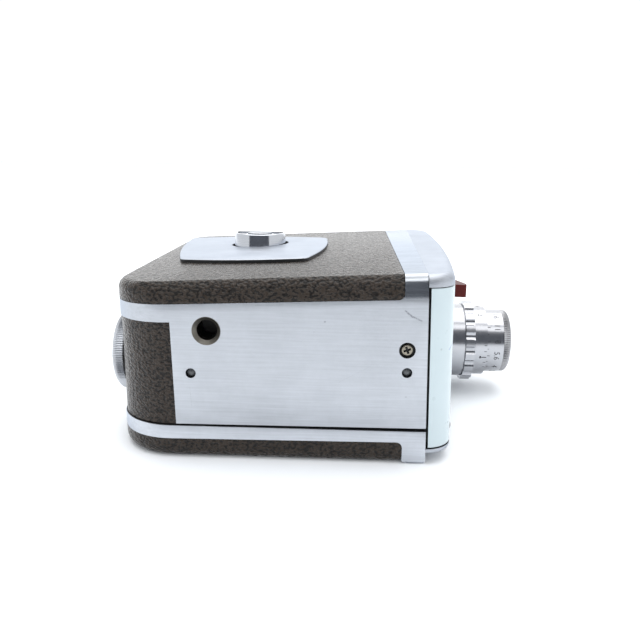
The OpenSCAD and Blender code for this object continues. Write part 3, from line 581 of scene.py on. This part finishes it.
rework("winding_hub", "winder", relief=turned_hub)


# ---- turned and engraved details ----
def build(name, verts, faces, slot, body, *nodes, sharp=32, material=None):
    """A new piece from plain geometry, in place of the nodes that are named."""
    mesh = bpy.data.meshes.new(name)
    mesh.from_pydata(verts, [], faces)
    bm = bmesh.new()
    bm.from_mesh(mesh)
    bmesh.ops.recalc_face_normals(bm, faces=bm.faces)
    shade_smooth(bm, sharp)
    bm.to_mesh(mesh)
    bm.free()
    obj = link_new(name, mesh)
    mesh.materials.append(M[material or slot])
    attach(obj, body)
    if nodes:
        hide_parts(*nodes)
    return obj


def lathe_x(profile, center, count, knurl):
    """A closed profile of (x, radius) turned about the X axis in count steps.

    knurl is the first and last profile row that it cuts, its depth and its number of teeth."""
    first, last, cut, teeth = knurl
    rows = len(profile)
    verts, faces = [], []
    for j in range(count):
        a = 2 * math.pi * j / count
        phase = (j * teeth / count) % 1
        for i, (x, r) in enumerate(profile):
            if first <= i <= last:
                r -= cut * (1 - math.sin(math.pi * phase))
            verts.append((center[0] + x, center[1] + r * math.cos(a), center[2] + r * math.sin(a)))
    for j in range(count):
        k = (j + 1) % count
        for i in range(rows):
            n = (i + 1) % rows
            faces.append((j * rows + i, j * rows + n, k * rows + n, k * rows + i))
    return verts, faces


def text_outline(label, size):
    """The outline of a label as flat polygons, centred, size metres high."""
    curve = bpy.data.curves.new("label", "FONT")
    curve.body = label
    curve.align_x = "CENTER"
    curve.align_y = "CENTER"
    curve.size = size * 1.4
    curve.resolution_u = 3
    obj = bpy.data.objects.new("label", curve)
    mesh = bpy.data.meshes.new_from_object(obj)
    out = [tuple(v.co) for v in mesh.vertices], [tuple(f.vertices) for f in mesh.polygons]
    bpy.data.objects.remove(obj)
    bpy.data.curves.remove(curve)
    bpy.data.meshes.remove(mesh)
    return out


def append(verts, faces, new_verts, new_faces):
    base = len(verts)
    verts += new_verts
    faces += [tuple(base + i for i in face) for face in new_faces]


def wrap(items, x, r, center):
    """Labels and bars on a cylinder about the X axis through center.

    An item is (angle, label, height), or (angle, (start, end), half width) for a bar along X."""
    verts, faces = [], []
    for angle, label, size in items:
        if isinstance(label, str):
            flat, f = text_outline(label, size)
            flat = [(q[1], -q[0]) for q in flat]
        else:
            x0, x1 = label
            flat, f = [(x0, -size), (x1, -size), (x1, size), (x0, size)], [(0, 1, 2, 3)]
        v = []
        for along, across in flat:
            a = math.radians(angle) + across / r
            v.append((x + along, center[1] - r * math.cos(a), center[2] + r * math.sin(a)))
        append(verts, faces, v, f)
    return verts, faces


def lens_marks(name, items, ring, shift, body):
    """Inked marks a hair above a ring of the lens."""
    ring_lo, ring_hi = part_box(ring)
    r = (ring_hi[2] - ring_lo[2]) / 2 + 0.00002
    verts, faces = wrap(items, (ring_lo[0] + ring_hi[0]) / 2 + shift, r, (0, lens_c.y, lens_c.z))
    build(name, verts, faces, "black_metal", body, material="ink")


INDEX = -14  # the index line's angle, in degrees above the near side
STOPS = ("2.8", "4", "5.6", "8", "11", "16")
STOP_STEP = 26
first_stop = INDEX - 2 * STOP_STEP
lens_marks("stop_numbers",
           [(first_stop + STOP_STEP * i, label, 0.0021) for i, label in enumerate(STOPS)],
           "aperture_ring", 0.0006, "aperture_control")
lens_marks("stop_ticks",
           [(first_stop + STOP_STEP * i, (-0.0030, -0.0019), 0.00012) for i in range(6)]
           + [(first_stop + STOP_STEP * (i + 0.5), (-0.0030, -0.0024), 0.00009)
              for i in range(5)],
           "aperture_ring", 0, "aperture_control")
lens_marks("index_lines",
           [(INDEX, (0.0002, 0.0022), 0.00016), (INDEX, (-0.0004, 0.0002), 0.0005)]
           + [(INDEX + s * 10, (0.0012, 0.0022), 0.0001) for s in (-2, -1, 1, 2)]
           + [(60 + 30 * i, label, 0.0018) for i, label in enumerate(("2", "4", "10"))],
           "index_collar", 0, "camera_body")

rim_lo, rim_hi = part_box("front_rim")
w = rim_hi[0] - rim_lo[0]
r = (rim_hi[2] - rim_lo[2]) / 2
rim_profile = [
    (0, 0.01026), (0, r - 0.0002), (0.00025, r), (0.0004, r), (w - 0.0011, r - 0.00005),
    (w - 0.0007, r - 0.0003), (w - 0.0002, r - 0.0008), (w, r - 0.0012), (w, 0.0107),
    (w - 0.0003, 0.01035)]
build("front_rim_knurled",
      *lathe_x(rim_profile, (rim_lo[0], lens_c.y, lens_c.z), 360, (2, 5, 0.00022, 90)),
      "dark_rim", "aperture_control", "front_rim")

dial_lo, dial_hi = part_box("footage_dial")
dial_c = Vector((dial_lo[0], (dial_lo[1] + dial_hi[1]) / 2, (dial_lo[2] + dial_hi[2]) / 2))
w = dial_hi[0] - dial_lo[0]
r = (dial_hi[2] - dial_lo[2]) / 2
shaft_r, axis_r = 0.0018, 0.00001
dial_profile = [
    (0.0006, axis_r), (0.0006, r - 0.0085), (0.0002, r - 0.0083), (0.0002, r - 0.0064),
    (0.0006, r - 0.0062), (0.0006, r - 0.0030), (0.00015, r - 0.0027), (0, r - 0.0022),
    (0.0001, r - 0.0014), (0.0007, r - 0.0006), (0.0013, r - 0.0001), (0.0020, r), (0.0032, r),
    (0.0038, r - 0.0001), (0.0042, r - 0.0005), (0.0044, r - 0.0010), (0.0044, shaft_r),
    (w, shaft_r), (w, axis_r)]
build("rear_dial_knurled", *lathe_x(dial_profile, dial_c, 432, (9, 14, 0.0003, 108)),
      "machined_aluminium", "rear_dial", "footage_dial", material="dial_metal")


def on_dial(angle, across, out):
    """A place on the dial's face, out from its centre at an angle and across that line."""
    a = math.radians(angle)
    return (dial_c.x + 0.00058, dial_c.y + across * math.sin(a) + out * math.cos(a),
            dial_c.z - across * math.cos(a) + out * math.sin(a))


verts, faces = [], []
for i, label in enumerate(("0", "5", "10", "15", "20", "25")):
    v, f = text_outline(label, 0.0017)
    append(verts, faces, [on_dial(90 - 48 * i, -q[0], q[1] + r - 0.0046) for q in v], f)
for i in range(26):
    inner, half = (0.0036, 0.00011) if i % 5 == 0 else (0.0034, 0.00007)
    corners = ((-half, 0.0031), (half, 0.0031), (half, inner), (-half, inner))
    append(verts, faces, [on_dial(90 - 9.6 * i, side, r - cut) for side, cut in corners],
           [(0, 1, 2, 3)])
build("rear_dial_marks", verts, faces, "black_metal", "rear_dial", material="ink")


def screw_head():
    """A round head with a cross recess, facing -Y, and the numbers of its dark faces: the recess,
    painted black as painted shade.
    """
    steps = 48
    lo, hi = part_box("base_screw")
    cx, cy, cz = (lo[0] + hi[0]) / 2, lo[1], (lo[2] + hi[2]) / 2
    r = (hi[0] - lo[0]) / 2
    bm = bmesh.new()
    rings = []
    for k, y in ((1, 0.0011), (1, 0.0002), (0.93, 0.00005), (0.8, 0.0)):
        turns = [2 * math.pi * i / steps for i in range(steps)]
        rings.append([bm.verts.new((cx + r * k * math.cos(a), cy + y, cz + r * k * math.sin(a)))
                      for a in turns])
    for a, b in zip(rings, rings[1:]):
        for i in range(steps):
            j = (i + 1) % steps
            bm.faces.new((a[i], a[j], b[j], b[i]))
    arm, half, shrink, tilt = r * 0.66, r * 0.2, 0.55, math.radians(20)
    cross = [(arm, half), (half, half), (half, arm), (-half, arm), (-half, half), (-arm, half),
             (-arm, -half), (-half, -half), (-half, -arm), (half, -arm), (half, -half),
             (arm, -half)]
    cross = [(x * math.cos(tilt) - z * math.sin(tilt), x * math.sin(tilt) + z * math.cos(tilt))
             for x, z in cross]
    lip = [bm.verts.new((cx + x, cy, cz + z)) for x, z in cross]
    pit = [bm.verts.new((cx + x * shrink, cy + 0.0008, cz + z * shrink)) for x, z in cross]
    n = len(cross)
    edges = [bm.edges.new((lip[i], lip[(i + 1) % n])) for i in range(n)]
    edges += [bm.edges.get((rings[-1][i], rings[-1][(i + 1) % steps])) for i in range(steps)]
    bmesh.ops.triangle_fill(bm, use_beauty=True, edges=edges)
    first_dark = len(bm.faces)
    for i in range(n):
        j = (i + 1) % n
        bm.faces.new((lip[i], lip[j], pit[j], pit[i]))
    bm.faces.new(pit)
    bm.verts.index_update()
    v = [tuple(q.co) for q in bm.verts]
    f = [tuple(q.index for q in face.verts) for face in bm.faces]
    bm.free()
    return v, f, range(first_dark, len(f))


verts, faces, dark = screw_head()
screw = build("base_screw_head", verts, faces, "bare_steel", "camera_body", "base_screw",
              sharp=40, material="screw_steel")
# The cross recess is painted black: painted shade in the recess.
screw.data.materials.append(M["black_metal"])
for i in dark:
    screw.data.polygons[i].material_index = 1


def hole_seat(name, x, z, r=0.00146, lip=0.0006, sink=0.0009, rows=8, steps=36):
    """The rounded bottom of a locating hole, at a body point on the base face, in a dark steel
    that is painted shade in the hole.
    """
    verts, faces = [], []
    for j in range(rows):
        lean = math.pi / 2 * (rows - 0.6 - j) / (rows - 0.6)
        for i in range(steps):
            a = 2 * math.pi * i / steps
            at = Vector((x + r * math.sin(lean) * math.cos(a), lip + sink * (1 - math.cos(lean)),
                         z + r * math.sin(lean) * math.sin(a)))
            verts.append(origin + at)
    for j in range(rows - 1):
        for i in range(steps):
            k = (i + 1) % steps
            faces.append((j * steps + i, j * steps + k, (j + 1) * steps + k, (j + 1) * steps + i))
    faces.append(tuple(range((rows - 1) * steps, rows * steps)))
    build(name, verts, faces, "bare_steel", "camera_body", material="hole_steel")


hole_seat("rear_hole_seat", 0.0249, 0.0266)
hole_seat("front_hole_seat", 0.0875, 0.0283)

for node, width in {
    "rear_leather": 0.0002, "focus_ring": 0.0004, "index_collar": 0.0003,
    "aperture_ring": 0.0003, "lens_barrel": 0.0004, "release_button": 0.0002,
    "hinge_body_leaf": 0.0002, "hinge_door_leaf": 0.0002, "eyepiece_ring": 0.0002,
}.items():
    flat_faces = NODES[node].modifiers.new("flat", "DECIMATE")
    flat_faces.decimate_type = "DISSOLVE"
    flat_faces.angle_limit = math.radians(0.5)
    edge = NODES[node].modifiers.new("edge", "BEVEL")
    edge.width = width
    edge.segments = 3
    edge.limit_method = "ANGLE"
    edge.angle_limit = math.radians(40)
    edge.harden_normals = False


# ---- floor, lights and flag ----
def stage_card(name, corners, mat):
    mesh = bpy.data.meshes.new(name)
    mesh.from_pydata(corners, [], [(0, 1, 2, 3)])
    obj = link_new(name, mesh)
    obj.data.materials.append(mat)
    return obj


def area(name, loc, aim, size, power, size_y=None):
    data = bpy.data.lights.new(name, "AREA")
    data.energy = power
    data.size = size
    if size_y:
        data.shape = "RECTANGLE"
        data.size_y = size_y
    obj = link_new(name, data)
    obj.location = loc
    obj.rotation_euler = (Vector(aim) - Vector(loc)).to_track_quat("-Z", "Y").to_euler()


FLOOR_HALF = 6
floor_z = cad_box[0][2] - 0.0001
ground = Mat("floor", (0.955, 0.975, 1.0), 0.8)
ground.rough(ground.noise(8, 2), 0.75, 0.85)
stage_card("floor", [(FLOOR_HALF * x, FLOOR_HALF * y, floor_z)
                     for x, y in ((-1, -1), (1, -1), (1, 1), (-1, 1))], ground.mat)

area("overhead", (0.0, 0.25, 1.1), (0, 0, 0), 1.3, 10)
area("backdrop", (0.0, 1.3, 0.62), (0, 0, 0.3), 2.6, 5.0, size_y=1.15)
area("front_fill", (0.3, -1.0, 1.3), (0, 0, 0.02), 0.6, 1.5)

# A dark flag in front shows in the metal's reflections, and not to the camera.
FLAG_GREY = 0.09
grey = Mat("front_flag", (FLAG_GREY, FLAG_GREY * 1.06, FLAG_GREY * 1.2), 0.9)
grey.rough(grey.noise(4, 2), 0.85, 0.95)
flag = stage_card("front_flag", [(-1.3, -1.3, 0.02), (1.3, -1.3, 0.02), (1.3, -1.1, 1.25),
                                 (-1.3, -1.1, 1.25)], grey.mat)
flag.visible_camera = False
flag.visible_diffuse = False
flag.visible_shadow = False

world = bpy.data.worlds.new("world")
bpy.context.scene.world = world
world.use_nodes = True
sky = world.node_tree.nodes["Background"].inputs
sky["Color"].default_value = (0.97, 0.985, 1.0, 1)
sky["Strength"].default_value = 1.08
bpy.context.scene.view_settings.view_transform = "Standard"
